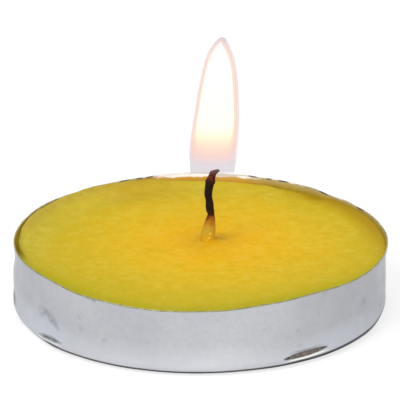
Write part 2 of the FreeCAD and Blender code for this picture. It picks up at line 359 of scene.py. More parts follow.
def make_foil():
    material, tree, shader = new_material("foil")
    place = object_place(tree)
    angle, height = wall_place(tree, place)
    colour = shade_foil(tree, place)
    # Painted reflection of the floor: the foil is lighter low down.
    low = spread(tree, height, 1.2, 3.4, 0.5, 0.0)
    colour = blend_colour(tree, low, colour, srgb(214, 216, 221))
    # Painted shade: the foil is darker towards both sides, and more so on the right.
    side_shade = spread(tree, maths(tree, "ABSOLUTE", angle), 25.0, 75.0, 0.0, 0.7)
    colour = blend_colour(tree, side_shade, colour, srgb(166, 168, 176))
    right = spread(tree, angle, 6.0, 48.0, 0.0, 0.42)
    right = maths(tree, "MULTIPLY", right, spread(tree, angle, 62.0, 80.0, 1.0, 0.75))
    right = maths(tree, "MULTIPLY", right, spread(tree, angle, 120.0, 172.0, 1.0, 0.0))
    colour = blend_colour(tree, right, colour, srgb(158, 157, 162))
    # Painted reflection: lighter, bluer patches low on the wall.
    for middle, reach, share in LIGHT_PATCHES:
        patch = wall_mark(tree, angle, height, middle, reach, soft=1.0)
        patch = maths(tree, "MULTIPLY", patch, share)
        colour = blend_colour(tree, patch, colour, srgb(212, 219, 231))
    ragged = spread(tree, grain(tree, place, 0.6, 4.0, 0.7), 0.35, 0.62, 0.15, 1.0)
    for middle, reach, slope, strength in SMUDGES:
        mark = wall_mark(tree, angle, height, middle, reach, slope, soft=0.9)
        share = maths(tree, "MULTIPLY", maths(tree, "MULTIPLY", mark, ragged), strength)
        colour = blend_colour(tree, share, colour, srgb(112, 116, 128))
    # Painted highlights under the dent and the crease, and painted shade in the dent, at its ends
    # and in the crease.
    painted_highlight = srgb(244, 243, 238)
    dent_shade = ramp(
        tree,
        grain(tree, place, 0.5, 3.0, 0.6),
        [(0.35, srgb(96, 88, 84)), (0.6, srgb(124, 117, 112))],
    )
    for crease, strength in ((BRIGHT_DENT, 1.0), (BRIGHT_CREASE, 0.65)):
        mark = wall_mark(tree, angle, height, *crease, pointed=True, soft=0.6)
        colour = blend_colour(tree, maths(tree, "MULTIPLY", mark, strength), colour, painted_highlight)
    mark = wall_mark(tree, angle, height, *DARK_DENT, soft=0.35)
    colour = blend_colour(tree, mark, colour, dent_shade)
    for end in DENT_ENDS:
        mark = wall_mark(tree, angle, height, *end, soft=0.7)
        colour = blend_colour(tree, maths(tree, "MULTIPLY", mark, 0.7), colour, srgb(68, 68, 76))
    mark = wall_mark(tree, angle, height, *DARK_CREASE, pointed=True, soft=0.9)
    mark = maths(tree, "MULTIPLY", mark, spread(tree, ragged, 0.0, 1.0, 0.55, 1.0))
    colour = blend_colour(tree, mark, colour, srgb(66, 69, 78))
    # Painted shade low on the left side of the wall, which also takes the metal out there.
    behind = wall_mark(tree, angle, height, (-85.0, 1.5), (6.5, 1.1), soft=0.7)
    below = wall_mark(tree, angle, height, (-76.0, 0.45), (5.0, 0.4), -0.05, soft=0.6)
    outer = spread(tree, axis_distance(tree, place), 17.85 * MM, 18.15 * MM)
    behind = maths(tree, "MULTIPLY", maths(tree, "MAXIMUM", behind, below), 0.8)
    behind = maths(tree, "MULTIPLY", behind, outer)
    colour = blend_colour(tree, behind, colour, srgb(84, 86, 96))
    # Painted contact shadow: a dark line along the foot, which rises round the sides.
    away = maths(tree, "SUBTRACT", 1.0, maths(tree, "COSINE", maths(tree, "RADIANS", angle)))
    away = maths(tree, "MULTIPLY", away, spread(tree, angle, -20.0, 20.0, 0.42, 0.84))
    away = maths(tree, "MULTIPLY", away, spread(tree, angle, 50.0, 80.0, 1.0, 0.8))
    around = maths(tree, "ABSOLUTE", angle)
    away = maths(tree, "MULTIPLY", away, spread(tree, around, 92.0, 125.0, 1.0, 0.0))
    level = maths(tree, "SUBTRACT", height, away)
    foot = spread(tree, level, 0.40, 0.54, 1.0, 0.0)
    lined = maths(
        tree, "MAXIMUM", spread(tree, angle, -64.0, -52.0), spread(tree, angle, -104.0, -130.0)
    )
    foot = maths(tree, "MULTIPLY", maths(tree, "MULTIPLY", foot, lined), outer)
    colour = blend_colour(tree, foot, colour, srgb(34, 34, 40))
    finish_foil(tree, shader, place, colour)
    tree.links.new(maths(tree, "SUBTRACT", 1.0, behind), shader.inputs["Metallic"])
    return material


def make_waxed_foil():
    """Inside of the foil above the wax, gold partly from a coat of old wax and partly as a painted
    reflection of the wax.
    """
    material, tree, shader = new_material("foil_waxed")
    place = object_place(tree)
    angle, height = wall_place(tree, place)
    film_and_reflection = ramp(
        tree,
        grain(tree, place, 1.4, 4.0, 0.6),
        [(0.3, srgb(144, 120, 10)), (0.5, srgb(158, 132, 16)), (0.7, srgb(172, 144, 30))],
    )
    patchy = spread(tree, grain(tree, place, 0.9, 3.0), 0.35, 0.65, 0.3, 0.8)
    dusty = maths(tree, "MULTIPLY", spread(tree, angle, 112.0, 136.0), patchy)
    dusty = maths(tree, "MULTIPLY", dusty, spread(tree, angle, 150.0, 176.0, 1.0, 0.0))
    film_and_reflection = blend_colour(tree, dusty, film_and_reflection, srgb(176, 153, 62))
    around = maths(tree, "ABSOLUTE", angle)
    # Painted glow of the flame's light, in an orange strip at the back.
    painted_glow = spread(tree, around, 155.5, 167.5, 0.0, 0.82)
    film_and_reflection = blend_colour(tree, painted_glow, film_and_reflection, srgb(208, 156, 62))
    top = spread(tree, angle, 70.0, 110.0, 0.0, 0.6)
    top = maths(tree, "MULTIPLY", spread(tree, height, 6.40, 6.85), top)
    top = maths(tree, "MULTIPLY", top, spread(tree, angle, 155.0, 176.0, 1.0, 0.0))
    film_and_reflection = blend_colour(tree, top, film_and_reflection, srgb(186, 172, 130))
    # Painted shade on the inside of the foil at the left.
    left_shade = wall_mark(tree, angle, height, (-84.0, 6.6), (30.0, 3.0), soft=0.8)
    film_and_reflection = blend_colour(tree, maths(tree, "MULTIPLY", left_shade, 0.85), film_and_reflection, srgb(134, 115, 0))
    # Painted reflection of the flame and the white surroundings: a bright strip on the bare foil at
    # the back above the gold, with a duller patch.
    wander = spread(tree, grain(tree, place, 1.2, 3.0), 0.3, 0.7, -0.12, 0.12)
    above = spread(tree, maths(tree, "ADD", height, wander), 6.80, 6.90)
    back = maths(
        tree, "MAXIMUM", spread(tree, angle, 159.0, 165.0), spread(tree, angle, -164.0, -169.0)
    )
    bare = maths(tree, "MULTIPLY", back, above)
    painted_highlight = ramp(
        tree,
        grain(tree, place, 0.8, 3.0),
        [(0.36, srgb(222, 204, 190)), (0.46, srgb(246, 248, 255))],
    )
    dull = wall_mark(tree, angle, height, (172.0, 7.2), (5.0, 1.5), soft=0.5)
    painted_highlight = blend_colour(tree, maths(tree, "MULTIPLY", dull, 0.75), painted_highlight, srgb(204, 192, 180))
    colour = blend_colour(tree, bare, film_and_reflection, painted_highlight)
    tree.links.new(colour, shader.inputs["Base Color"])
    shader.inputs["Metallic"].default_value = 0.1
    shader.inputs["Specular IOR Level"].default_value = 0.2
    roughness = spread(tree, grain(tree, place, 1.0, 3.0), 0.3, 0.7, 0.38, 0.56)
    tree.links.new(roughness, shader.inputs["Roughness"])
    tree.links.new(bump(tree, grain(tree, place, 0.5, 4.0, 0.6), 0.02), shader.inputs["Normal"])
    return material


# Where the cut edge is painted with dark flecks of shade: angle and reach, in degrees
RIM_SHADE_FLECKS = (
    (-163.4, 1.6), (-160.0, 1.2), (-154.5, 2.0), (-149.0, 2.4), (-137.7, 1.8), (-127.0, 1.6),
    (162.6, 1.8), (157.0, 1.2), (152.0, 2.2), (136.0, 2.4), (118.0, 2.6),
)


def make_cut_edge():
    """Sheared edge of the foil and the rim just inside it, painted dark as shade, with old wax at
    the front.
    """
    material, tree, shader = new_material("foil_edge")
    place = object_place(tree)
    edge_shade = ramp(
        tree,
        grain(tree, place, 1.3, 4.0, 0.7),
        [(0.3, srgb(150, 142, 122)), (0.5, srgb(188, 180, 158)), (0.7, srgb(222, 216, 202))],
    )
    angle, height = wall_place(tree, place)
    around = maths(tree, "ABSOLUTE", angle)
    # Painted reflection: the edge is lighter at the back, behind the flame.
    back_shine = spread(tree, around, 160.0, 168.0, 0.0, 0.7)
    colour = blend_colour(tree, back_shine, edge_shade, srgb(196, 190, 188))
    front = spread(tree, around, 84.0, 66.0, 0.0, 0.9)
    waxy = ramp(
        tree,
        grain(tree, place, 0.7, 3.0),
        [(0.35, srgb(124, 126, 58)), (0.65, srgb(158, 158, 118))],
    )
    colour = blend_colour(tree, front, colour, waxy)
    from_left = maths(tree, "ABSOLUTE", maths(tree, "ADD", angle, 82.0))
    golden = spread(tree, from_left, 7.0, 16.0, 0.8, 0.0)
    colour = blend_colour(tree, golden, colour, srgb(150, 128, 16))
    # Painted shade in dark flecks along the back of the edge.
    for middle, reach in RIM_SHADE_FLECKS:
        mark = wall_mark(tree, angle, height, (middle, CUP_HEIGHT), (reach, 2.0), soft=0.8)
        colour = blend_colour(tree, maths(tree, "MULTIPLY", mark, 0.85), colour, srgb(60, 56, 54))
    finish_foil(tree, shader, place, colour)
    return material


# Colour of the wax by distance from the wick, in millimetres: warm orange round the wick and
# greener towards the rim as painted light from the flame, and darker at the wick's foot as painted
# shade
WAX_STOPS = (
    (0.0, (212, 160, 16)),
    (1.1, (216, 164, 14)),
    (2.4, (227, 173, 12)),
    (4.0, (231, 178, 16)),
    (9.0, (221, 180, 22)),
    (14.0, (206, 177, 28)),
    (19.0, (193, 174, 32)),
)
# Greener bands behind the front edge, painted shade under the rim: where each starts and ends, its
# strength and colour
GREEN_SHADE_BANDS = ((5.5, 1.0, 0.42, (182, 165, 4)), (1.5, 0.1, 0.62, (170, 163, 10)))
# Elevation from which the front of the rim hides wax, and how far round that side reaches
EDGE_SIGHT = 22.0
EDGE_REACH = 100


def beyond_front_edge(tree, place, angle):
    """How far the wax lies behind the line where the front of the rim rises over it."""
    parts = split(tree, place)
    x, y = (maths(tree, "DIVIDE", parts[axis], MM) for axis in "XY")
    inner = (CUP_RADIUS - FOIL) ** 2
    wall = maths(tree, "SUBTRACT", inner, maths(tree, "MULTIPLY", x, x))
    wall = maths(tree, "SQRT", maths(tree, "MAXIMUM", wall, 0.0))
    front = [(turn, rise) for turn, rise in RIM_WAVES if -EDGE_REACH <= turn <= EDGE_REACH]
    low, high = front[0][0], front[-1][0]
    share = spread(tree, angle, low, high)
    lift = 0.5  # keeps every rise above 0 while the ramp holds it as a colour
    stops = [((turn - low) / (high - low), (rise + lift,) * 3 + (1.0,)) for turn, rise in front]
    rise = maths(tree, "SUBTRACT", ramp(tree, share, stops), lift)
    over_wax = maths(tree, "ADD", rise, WAX_DROP)
    hidden = maths(tree, "DIVIDE", over_wax, math.tan(math.radians(EDGE_SIGHT)))
    return maths(tree, "SUBTRACT", maths(tree, "ADD", y, wall), hidden)


def make_wax_material():
    material, tree, shader = new_material("wax")
    place = object_place(tree)
    from_wick = add_node(
        tree,
        "ShaderNodeVectorMath",
        {0: place, 1: (WICK_X * MM, WICK_Y * MM, WAX_LEVEL * MM)},
        operation="DISTANCE",
    ).outputs["Value"]
    # Painted light from the flame: warmer round the wick, greener towards the rim, with painted
    # shade at the wick's foot.
    reach = WAX_STOPS[-1][0]
    share = spread(tree, from_wick, 0.0, reach * MM)
    wander = spread(tree, grain(tree, place, 5.0, 3.0), 0.3, 0.7, -0.06, 0.06)
    share = maths(tree, "ADD", share, wander)
    colour = ramp(tree, share, [(place_mm / reach, srgb(*stop)) for place_mm, stop in WAX_STOPS])
    mottle = grain(tree, place, 1.1, 4.0, 0.65)
    pale = spread(tree, mottle, 0.5, 0.7, 0.0, 0.42)
    colour = blend_colour(tree, pale, colour, srgb(224, 196, 74))
    deep = spread(tree, mottle, 0.5, 0.3, 0.0, 0.40)
    colour = blend_colour(tree, deep, colour, srgb(198, 158, 4))
    angle, height = wall_place(tree, place)
    flecks = spread(tree, grain(tree, place, 0.55, 2.0), 0.66, 0.76, 0.0, 0.5)
    rim = axis_distance(tree, place)
    outer = spread(tree, rim, 13.0 * MM, 17.0 * MM)
    facing = spread(tree, maths(tree, "ABSOLUTE", angle), 85.0, 40.0)
    outer = maths(tree, "MULTIPLY", outer, facing)
    colour = blend_colour(tree, maths(tree, "MULTIPLY", flecks, outer), colour, srgb(226, 214, 120))
    # Painted shade: greener, darker wax just behind the front of the rim.
    past_edge = beyond_front_edge(tree, place, angle)
    greener = spread(tree, angle, 45.0, 80.0, 1.0, 0.25)
    for start, end, strength, shade in GREEN_SHADE_BANDS:
        band = spread(tree, past_edge, start, end, 0.0, strength)
        green = maths(tree, "MULTIPLY", band, greener)
        colour = blend_colour(tree, green, colour, srgb(*shade))
    shaded = spread(tree, rim, (CUP_RADIUS - 2.3) * MM, (CUP_RADIUS - 0.7) * MM)
    side = maths(tree, "ABSOLUTE", maths(tree, "SUBTRACT", angle, 112.0))
    side = spread(tree, side, 28.0, 40.0, 0.95, 0.0)
    side = maths(tree, "MULTIPLY", side, spread(tree, angle, 76.0, 104.0, 0.2, 1.0))
    colour = blend_colour(tree, maths(tree, "MULTIPLY", shaded, side), colour, srgb(168, 134, 10))
    # More painted shade where the wax climbs the foil.
    cling = spread(tree, height, WAX_LEVEL + 0.30, WAX_LEVEL + 0.85, 0.0, 0.75)
    colour = blend_colour(tree, maths(tree, "MULTIPLY", cling, shaded), colour, srgb(172, 146, 34))
    # Painted shade on the wax towards the back left.
    far_left_shade = spread(tree, angle, -138.0, -150.0, 0.0, 0.45)
    far_left_shade = maths(tree, "MULTIPLY", far_left_shade, spread(tree, angle, -180.0, -166.0))
    far_left_shade = maths(tree, "MULTIPLY", far_left_shade, spread(tree, rim, 13.0 * MM, 17.0 * MM))
    colour = blend_colour(tree, far_left_shade, colour, srgb(182, 142, 26))
    # Paler, bluer patches towards the rim at the back left and round the back.
    pale_patches = spread(tree, grain(tree, place, 0.8, 4.0, 0.7), 0.35, 0.65, 0.25, 1.0)
    pale_patches = maths(tree, "MULTIPLY", pale_patches, spread(tree, rim, 14.5 * MM, 18.2 * MM, 0.0, 0.42))
    pale_where = maths(tree, "ABSOLUTE", maths(tree, "ADD", angle, 118.0))
    pale_where = spread(tree, pale_where, 30.0, 52.0, 1.0, 0.0)
    at_back = spread(tree, maths(tree, "ABSOLUTE", angle), 140.0, 156.0, 0.0, 0.55)
    pale_where = maths(tree, "MAXIMUM", pale_where, at_back)
    colour = blend_colour(tree, maths(tree, "MULTIPLY", pale_patches, pale_where), colour, srgb(202, 190, 98))
    # Painted shade in the crevice between the wax and the foil at the left.
    by_left = maths(tree, "ABSOLUTE", maths(tree, "ADD", angle, 88.0))
    by_left = spread(tree, by_left, 2.0, 9.0, 0.8, 0.0)
    crevice_shade = maths(tree, "MULTIPLY", spread(tree, past_edge, 1.6, 0.7), by_left)
    colour = blend_colour(tree, crevice_shade, colour, srgb(126, 112, 4))
    tree.links.new(colour, shader.inputs["Base Color"])
    shader.inputs["Roughness"].default_value = 0.62
    shader.inputs["Specular IOR Level"].default_value = 0.08
    shader.inputs["Subsurface Weight"].default_value = 0.25
    shader.inputs["Subsurface Radius"].default_value = (1.0, 0.6, 0.15)
    shader.inputs["Subsurface Scale"].default_value = 0.9 * MM
    surface = grain(tree, place, 0.45, 4.0, 0.6)
    tree.links.new(bump(tree, surface, 0.05, 0.18), shader.inputs["Normal"])
    return material


# Painted highlights: pale spots on the front of the wick's foot, by place and reach
WICK_GLINTS = (
    ((WICK_X, WICK_Y - 0.74, 7.22), 0.20),
    ((WICK_X - 0.12, WICK_Y - 0.78, 6.76), 0.17),
    ((WICK_X - 0.32, WICK_Y - 0.72, 6.52), 0.14),
)


def make_wick_material():
    material, tree, shader = new_material("charred_cotton")
    place = object_place(tree)
    parts = split(tree, place)
    ragged = spread(tree, grain(tree, place, 0.45, 3.0), 0.3, 0.7, -0.22 * MM, 0.22 * MM)
    fronted = spread(tree, parts["Y"], (WICK_Y - 0.35) * MM, WICK_Y * MM, 0.28 * MM, -0.05 * MM)
    level = maths(tree, "ADD", maths(tree, "ADD", parts["Z"], ragged), fronted)
    low, high = WICK_FOOT, WICK_HIGH.z
    # The reddish brown at the top of these stops is painted light from the flame behind the wick.
    stops = (
        (low, (222, 182, 70)),
        (6.2, (222, 170, 14)),
        (6.7, (218, 167, 16)),
        (7.1, (212, 166, 32)),
        (7.6, (203, 164, 50)),
        (8.1, (196, 158, 46)),
        (8.5, (186, 138, 30)),
        (8.8, (168, 104, 20)),
        (9.1, (124, 60, 12)),
        (9.45, (54, 24, 8)),
        (10.0, (24, 12, 4)),
        (12.2, (20, 11, 4)),
        (12.7, (24, 11, 4)),
        (13.1, (44, 17, 6)),
        (13.3, (72, 28, 11)),
        (13.5, (100, 40, 18)),
        (13.7, (92, 42, 30)),
        (high, (74, 36, 34)),
    )
    share = spread(tree, level, low * MM, high * MM)
    colour = ramp(tree, share, [((z - low) / (high - low), srgb(*stop)) for z, stop in stops])
    ash = spread(tree, grain(tree, place, 0.16, 3.0), 0.58, 0.78, 0.0, 0.22)
    burnt = spread(tree, parts["Z"], 9.3 * MM, 9.9 * MM)
    colour = blend_colour(tree, maths(tree, "MULTIPLY", ash, burnt), colour, srgb(72, 46, 40))
    # Painted highlights on the front of the wick's foot.
    for spot, reach in WICK_GLINTS:
        away = add_node(
            tree,
            "ShaderNodeVectorMath",
            {0: place, 1: [value * MM for value in spot]},
            operation="DISTANCE",
        ).outputs["Value"]
        glint = spread(tree, away, 0.4 * reach * MM, reach * MM, 0.85, 0.0)
        colour = blend_colour(tree, glint, colour, srgb(244, 206, 74))
    tree.links.new(colour, shader.inputs["Base Color"])
    shader.inputs["Roughness"].default_value = 0.75
    shader.inputs["Specular IOR Level"].default_value = 0.2
    fibres = grain(tree, place, 0.12, 4.0, 0.7)
    tree.links.new(bump(tree, fibres, 0.05), shader.inputs["Normal"])
    return material


def make_tin():
    material, tree, shader = new_material("tinplate")
    place = object_place(tree)
    brushed = grain(tree, place, 0.6, 3.0, 0.6, stretch=(1.0, 0.12, 1.0))
    colour = ramp(tree, brushed, [(0.3, srgb(150, 151, 154)), (0.7, srgb(186, 187, 190))])
    tree.links.new(colour, shader.inputs["Base Color"])
    shader.inputs["Metallic"].default_value = 1.0
    shader.inputs["Roughness"].default_value = 0.35
    tree.links.new(bump(tree, brushed, 0.01), shader.inputs["Normal"])
    return material


# How much sooner the gas thins out towards the viewer, as height per depth
FOOT_SLANT = 0.405


def make_glow(name, colours, opacities, strength):
    """Glowing gas: colour and opacity by height, each through (height, value) stops.

    Below the glow the gas thins out sooner on the side that faces the viewer.
    """
    material, tree, shader = new_material(name)
    place = split(tree, object_place(tree))
    nearer = maths(tree, "MULTIPLY_ADD", place["Y"], FOOT_SLANT)
    nearer.node.inputs[2].default_value = -FOOT_SLANT * WICK_Y * MM
    low_down = spread(tree, place["Z"], 14.4 * MM, 16.0 * MM, 1.0, 0.0)
    height = maths(tree, "ADD", place["Z"], maths(tree, "MULTIPLY", nearer, low_down))
    low, high = FLAME_LOW.z, FLAME_HIGH.z
    share = spread(tree, height, low * MM, high * MM)
    colour = ramp(tree, share, [((z - low) / (high - low), srgb(*stop)) for z, stop in colours])
    opacity = ramp(
        tree, share, [((z - low) / (high - low), (value,) * 3 + (1.0,)) for z, value in opacities]
    )
    tree.links.new(colour, shader.inputs["Emission Color"])
    tree.links.new(opacity, shader.inputs["Alpha"])
    shader.inputs["Emission Strength"].default_value = strength
    shader.inputs["Base Color"].default_value = (0.0, 0.0, 0.0, 1.0)
    shader.inputs["Specular IOR Level"].default_value = 0.0
    shader.inputs["Roughness"].default_value = 1.0
    return material


# Cup

# How far the handled rim stands above its plain height, by angle
RIM_WAVES = (
    (-180, 0.18), (-175, 0.16), (-166, 0.08), (-162.3, 0.0), (-158, 0.0), (-148.5, -0.04),
    (-143, 0.04), (-138.5, -0.08), (-130, 0.03), (-118, 0.18), (-105, 0.15), (-92, 0.12),
    (-75, 0.22), (-53, 0.34), (-37, 0.0), (-12, -0.17), (5, -0.09), (21, 0.14), (35, 0.27),
    (56, -0.04), (90, -0.05), (104, -0.16), (112, -0.20), (120, -0.26), (126, -0.19),
    (133, -0.28), (141, -0.07), (156, 0.0), (160.5, 0.0), (165, 0.10), (170, 0.08), (180, 0.18),
)
# How far the handled foil stands out from a true round, by angle: at the rim, at mid height
# and at the foot
RIM_REACH = ((-180, 0.04), (-120, 0.04), (-90, 0.12), (-60, 0.04), (45, 0.04), (85, 0.22),
             (105, 0.22), (140, 0.04), (180, 0.04))
WALL_REACH = ((-180, 0.0), (-125, 0.0), (-90, 0.22), (-60, 0.0), (60, 0.0), (90, 0.05),
              (120, 0.0), (180, 0.0))
FOOT_REACH = ((-180, 0.0), (-110, 0.0), (-88, 0.26), (-76, 0.28), (-64, 0.24), (-50, 0.32),
              (-38, 0.20), (-28, 0.14), (-15, 0.05), (12, 0.0), (28, 0.16), (42, 0.30),
              (62, 0.33), (78, 0.12), (92, 0.0), (180, 0.0))
# Width of the cut edge, the height over which the foil thins out to it, and its rounding
RIM_EDGE = 0.11
RIM_TAPER = 0.6
LIP = 0.02
# Radius of the first ring round the middle of the base panel
PANEL_START = 1.0

# Dents in the foil: (angle, height, half width in degrees, half height, depth)
DENTS = (
    (34.2, 1.25, 8.5, 0.42, 0.30),
    (-50.5, 0.95, 4.5, 0.35, 0.22),
    (-47.0, 2.6, 5.0, 1.3, 0.08),
    (58.0, 4.0, 5.0, 1.1, 0.07),
    (8.0, 3.2, 9.0, 1.2, 0.05),
    (-18.0, 4.4, 7.0, 1.0, 0.05),
    (118.0, 3.4, 7.0, 1.4, 0.09),
    (-140.0, 2.2, 6.0, 0.9, 0.10),
    (165.0, 4.2, 8.0, 1.1, 0.07),
)


def along_stops(stops, place):
    """Smooth value between the two stops on either side of a place."""
    for (low, start), (high, end) in zip(stops, stops[1:]):
        if low <= place <= high:
            return mix(start, end, smooth(low, high, place))
    return stops[-1][1]


def curve_at(stops, place):
    """Value at a place on the smooth curve through (place, value, ...) stops."""
    places = [stop[0] for stop in stops]
    last = len(stops) - 2
    span = min(last, max(0, bisect.bisect_right(places, place) - 1))
    low, high = stops[span], stops[span + 1]
    before, after = stops[max(0, span - 1)], stops[min(last + 1, span + 2)]
    width = high[0] - low[0]
    share = min(1.0, max(0.0, (place - low[0]) / width))
    values = []
    for part in range(1, len(low)):
        leave = (high[part] - before[part]) / (high[0] - before[0]) * width
        arrive = (after[part] - low[part]) / (after[0] - low[0]) * width
        square, cube = share ** 2, share ** 3
        values.append(
            (2 * cube - 3 * square + 1) * low[part]
            + (cube - 2 * square + share) * leave
            + (3 * square - 2 * cube) * high[part]
            + (cube - square) * arrive
        )
    return values


def facing_angle(turn):
    """Degrees from the side that faces the viewer, from -180 to 180."""
    angle = math.degrees(turn) + 90.0
    return (angle + 180.0) % 360.0 - 180.0


def bent_foil(turn, radius, height):
    """Where a point of the plain turned cup lies on the real, handled one."""
    angle = facing_angle(turn)
    on_wall = smooth(CUP_RADIUS - 1.6, CUP_RADIUS - 0.6, radius)
    inward = 0.0
    for centre, level, wide, tall, depth in DENTS:
        across = ((angle - centre + 180.0) % 360.0 - 180.0) / wide
        along = (height - level) / tall
        inward += depth * math.exp(-1.6 * (across ** 4 + along ** 2))
    ripple = noise.noise(Vector((math.cos(turn) * 4.2, math.sin(turn) * 4.2, height * 0.35)))
    inward += 0.035 * (ripple + 0.6) * smooth(0.4, 2.0, height)
    rise = along_stops(RIM_WAVES, angle) * smooth(3.2, CUP_HEIGHT, height)
    outward = (
        along_stops(RIM_REACH, angle) * smooth(CUP_HEIGHT - 1.4, CUP_HEIGHT, height)
        + along_stops(WALL_REACH, angle) * (1 - smooth(0.8, 2.6, abs(height - 2.9)))
        + along_stops(FOOT_REACH, angle) * (1 - smooth(0.4, 2.2, height))
    )
    reach = radius + (outward - max(0.0, inward)) * on_wall
    return (reach * math.cos(turn), reach * math.sin(turn), height + rise * on_wall)


def cup_outline():
    """Runs of the foil's section as points: outside, cut edge and inside."""
    inner_wall = CUP_RADIUS - FOIL
    corner = (FOOT_OUTER, BASE_CORNER)
    taper_foot = CUP_HEIGHT - RIM_TAPER
    outer_lip = (CUP_RADIUS, CUP_HEIGHT - LIP)
    inner_lip = (CUP_RADIUS - RIM_EDGE, CUP_HEIGHT - LIP)
    outside = (
        line_points((PANEL_START, PANEL_RISE), (PANEL_EDGE, PANEL_RISE), 10)
        + line_points((PANEL_EDGE, PANEL_RISE), (FOOT_INNER, 0.0), 3)
        + line_points((FOOT_INNER, 0.0), (FOOT_OUTER, 0.0), 5)
        + arc_points(corner, BASE_CORNER, -90.0, 0.0, 12)
        + line_points((CUP_RADIUS, BASE_CORNER), (CUP_RADIUS, taper_foot), 40)
        + line_points((CUP_RADIUS, taper_foot), outer_lip, 6)
    )
    edge = [
        outer_lip,
        (CUP_RADIUS - LIP, CUP_HEIGHT),
        (CUP_RADIUS - RIM_EDGE + LIP, CUP_HEIGHT),
    ]
    inside = (
        line_points(inner_lip, (inner_wall, taper_foot), 6)
        + line_points((inner_wall, taper_foot), (inner_wall, BASE_CORNER), 40)
        + arc_points(corner, BASE_CORNER - FOIL, 0.0, -90.0, 8)
        + line_points((FOOT_OUTER, FOIL), (FOOT_INNER + STEP_SHIFT, FOIL), 4)
        + line_points(
            (FOOT_INNER + STEP_SHIFT, FOIL), (PANEL_EDGE + STEP_SHIFT, PANEL_TOP), 3
        )
        + line_points((PANEL_EDGE + STEP_SHIFT, PANEL_TOP), (PANEL_START, PANEL_TOP), 10)
        + [(PANEL_START, PANEL_TOP)]
    )
    return outside, edge, inside


def make_cup(foil, edge_material, waxed):
    turns = [2 * math.pi * step / AROUND for step in range(AROUND)]
    outside, edge, inside = cup_outline()
    rings = [
        [bent_foil(turn, radius, height) for turn in turns]
        for radius, height in outside + edge + inside
    ]
    points, faces = skin_rings(
        rings, low_pole=(0, 0, PANEL_RISE), high_pole=(0, 0, PANEL_TOP)
    )
    cup = make_piece("foil_cup", points, faces, foil)
    cup.data.materials.append(edge_material)
    cup.data.materials.append(waxed)
    edge_face = len(outside) * AROUND
    inside_face = edge_face + len(edge) * AROUND
    inside_end = (len(rings) - 1) * AROUND
    for face in cup.data.polygons[edge_face - AROUND:inside_face + AROUND]:
        face.material_index = 1
    for face in cup.data.polygons[inside_face + AROUND:inside_end]:
        face.material_index = 2
    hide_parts("cup")
    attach(cup, "root")


# Wax

WAX_EDGE = 0.06
WAX_CLEARANCE = 0.02
# How far the wax stays in from the wall low down, where the foil is dented
DENT_ROOM = 0.45
MOUND_RADIUS = 2.4
MOUND_HEIGHT = 0.30
# How high the wax clings to the foil, by angle
CLIMBS = (
    (-180, 0.24), (-172, 0.36), (-164, 0.72), (-155, 0.98), (-140, 1.02), (-120, 1.04),
    (-108, 0.98), (-102, 0.84), (-97, 0.28), (-89, -0.08), (-78, 0.0), (-60, 0.06), (0, 0.08),
    (60, 0.12), (80, 0.34), (110, 0.42), (132, 0.34), (138, 0.04), (152, 0.0), (158, 0.14),
    (180, 0.24),
)


def eccentric_ring(share, radius, height):
    """Ring centred between the wick's axis, at share 0, and the cup's, at share 1."""
    ring = []
    for step in range(AROUND):
        turn = 2 * math.pi * step / AROUND
        ring.append(
            (
                mix(WICK_X, 0.0, share) + radius * math.cos(turn),
                mix(WICK_Y, 0.0, share) + radius * math.sin(turn),
                height,
            )
        )
    return ring


def wax_relief(x, y):
    """Rise and fall of the set surface."""
    broad = noise.noise(Vector((x * 0.16, y * 0.16, 2.0)))
    lumps = noise.noise(Vector((x * 0.55, y * 0.55, 7.0)))
    fine = noise.noise(Vector((x * 1.7, y * 1.7, 11.0)))
    return 0.06 * broad + 0.03 * lumps + 0.008 * fine


def wax_top_ring(share, radius, height, steady):
    """Ring on the open surface, with its relief and where the wax clings to the foil."""
    ring = []
    for x, y, z in eccentric_ring(share, radius, height):
        from_axis = math.hypot(x, y)
        turn = math.atan2(y, x)
        foil_x, foil_y, _ = bent_foil(turn, CUP_RADIUS - FOIL, WAX_LEVEL + 0.4)
        bulge = math.hypot(foil_x, foil_y) - (CUP_RADIUS - FOIL)
        stretch = 1 + (bulge + 0.05) * smooth(13.0, 18.5, from_axis) / max(from_axis, 1.0)
        x, y = x * stretch, y * stretch
        angle = facing_angle(turn)
        climb = along_stops(CLIMBS, angle)
        climb *= 1 + 0.12 * noise.noise(Vector((x * 0.8, y * 0.8, 20.0)))
        climb *= smooth(CUP_RADIUS - 2.2, CUP_RADIUS - 0.5, from_axis)
        ring.append((x, y, z + wax_relief(x, y) * steady + climb))
    return ring


